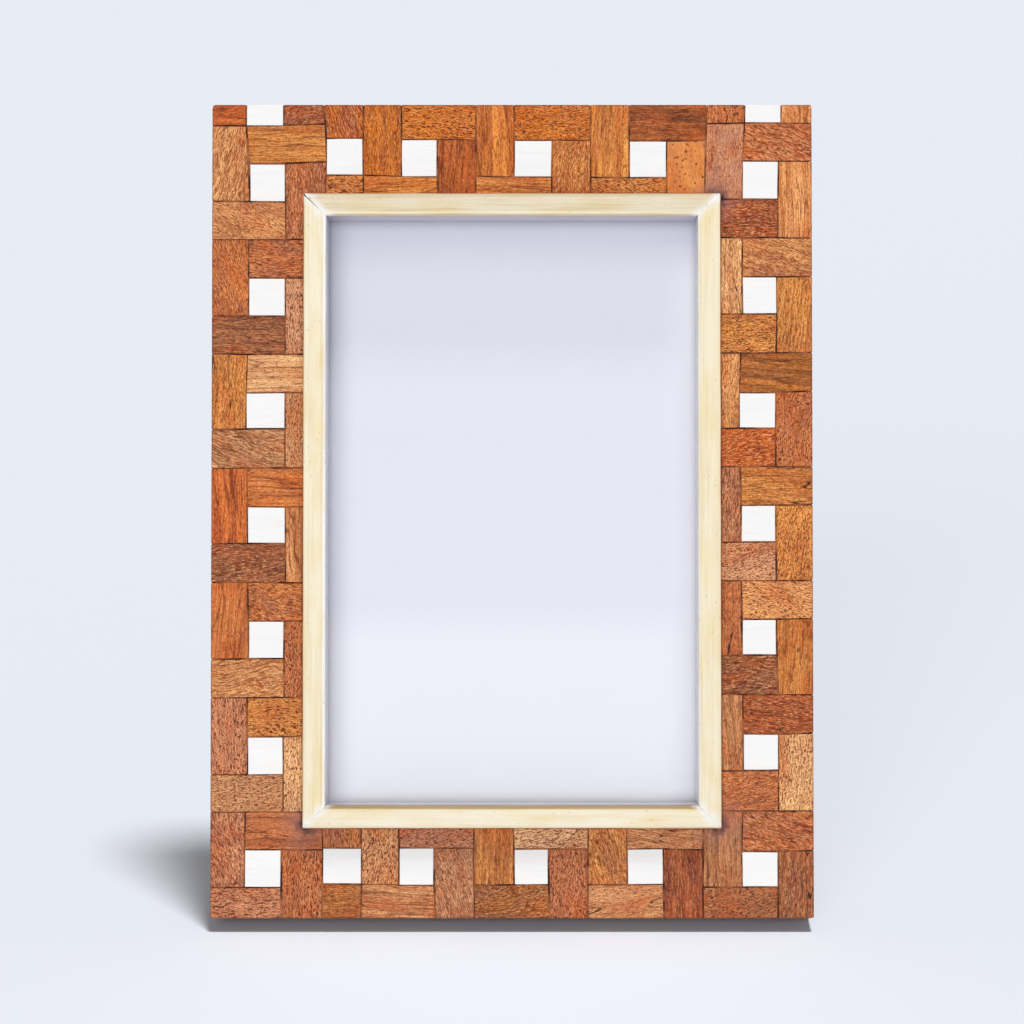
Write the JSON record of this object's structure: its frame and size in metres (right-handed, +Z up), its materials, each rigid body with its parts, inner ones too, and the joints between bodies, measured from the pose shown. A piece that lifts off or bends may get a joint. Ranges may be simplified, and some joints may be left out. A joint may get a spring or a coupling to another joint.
{
  "type": "picture frame",
  "caption": "Portrait table picture frame with a pinwheel parquet border, raised mitred brass trim, glass front, turn buttons and a folding easel leg at the back.",
  "frame": {"origin": "centre of the bounding box's footprint on the table, with the frame standing on its rear bottom edge and its open easel leg", "axes": "+Z up; +X to the viewer's right as the print is looked at; +Y away from the viewer, towards the easel leg"},
  "size_m": [0.15, 0.076, 0.2006],
  "materials": {
    "honey_wood": "satin, open pores",
    "russet_wood": "satin, open pores",
    "umber_wood": "satin, open pores",
    "white_resin": "polished, faint fibres",
    "dark_filler": "matt resin",
    "brass_sheet": "satin, pale lacquered brass",
    "brass_rivet": "satin",
    "core_wood": "planed, unfinished",
    "edging_wood": "satin stain",
    "fillet_wood": "planed, unfinished",
    "clear_glass": "polished",
    "white_card": "smooth matt",
    "grey_board": "matt",
    "black_velveteen": "hardboard covered in black velveteen paper",
    "plated_steel": "brass-plated pressed steel",
    "bare_steel": "bright drawn steel"
  },
  "bodies": {
    "frame": {"core_rail_left": "core_wood", "core_rail_right": "core_wood", "core_rail_top": "core_wood", "core_rail_bottom": "core_wood", "wood_edging_left": "edging_wood", "wood_edging_right": "edging_wood", "wood_edging_top": "edging_wood", "wood_edging_bottom": "edging_wood", "tile_filler_left": "dark_filler", "tile_filler_right": "dark_filler", "tile_filler_top": "dark_filler", "tile_filler_bottom": "dark_filler", "brass_trim_left": "brass_sheet", "brass_trim_right": "brass_sheet", "brass_trim_top": "brass_sheet", "brass_trim_bottom": "brass_sheet", "trim_fillet_left": "fillet_wood", "trim_fillet_right": "fillet_wood", "trim_fillet_top": "fillet_wood", "trim_fillet_bottom": "fillet_wood", "honey_tiles_left": "honey_wood", "honey_tiles_right": "honey_wood", "honey_tiles_top": "honey_wood", "honey_tiles_bottom": "honey_wood", "russet_tiles_left": "russet_wood", "russet_tiles_right": "russet_wood", "russet_tiles_top": "russet_wood", "russet_tiles_bottom": "russet_wood", "umber_tiles_left": "umber_wood", "umber_tiles_right": "umber_wood", "umber_tiles_top": "umber_wood", "umber_tiles_bottom": "umber_wood", "white_squares_left": "white_resin", "white_squares_right": "white_resin", "white_squares_top": "white_resin", "white_squares_bottom": "white_resin", "corner_nails": "bare_steel", "glass_pane": "clear_glass", "print_card": "white_card", "backing_board": "grey_board", "back_panel": "black_velveteen", "hinge_fixed_leaf": "plated_steel", "hinge_pin": "bare_steel", "hinge_panel_rivets": "brass_rivet", "turn_button_screws": "plated_steel"},
    "leg": {"easel_leg": "black_velveteen", "hinge_leg_leaf": "plated_steel", "hinge_leg_rivets": "brass_rivet"},
    "button_upper_left": {"turn_button_upper_left": "plated_steel"},
    "button_upper_right": {"turn_button_upper_right": "plated_steel"},
    "button_lower_left": {"turn_button_lower_left": "plated_steel"},
    "button_lower_right": {"turn_button_lower_right": "plated_steel"}
  },
  "joints": [
    {"name": "easel_fold", "type": "hinge", "parent": "frame", "child": "leg", "pos_m": [0, 0.00896, 0.12074], "axis": [1, 0, 0], "range_deg": [-27, 0]},
    {"name": "button_turn_upper_left", "type": "hinge", "parent": "frame", "child": "button_upper_left", "pos_m": [-0.0605, 0.01099, 0.13817], "axis": [0, 0.9703, -0.2419], "continuous": true},
    {"name": "button_turn_upper_right", "type": "hinge", "parent": "frame", "child": "button_upper_right", "pos_m": [0.0605, 0.01099, 0.13817], "axis": [0, 0.9703, -0.2419], "continuous": true},
    {"name": "button_turn_lower_left", "type": "hinge", "parent": "frame", "child": "button_lower_left", "pos_m": [-0.0605, -0.0088, 0.0588], "axis": [0, 0.9703, -0.2419], "continuous": true},
    {"name": "button_turn_lower_right", "type": "hinge", "parent": "frame", "child": "button_lower_right", "pos_m": [0.0605, -0.0088, 0.0588], "axis": [0, 0.9703, -0.2419], "continuous": true}
  ]
}
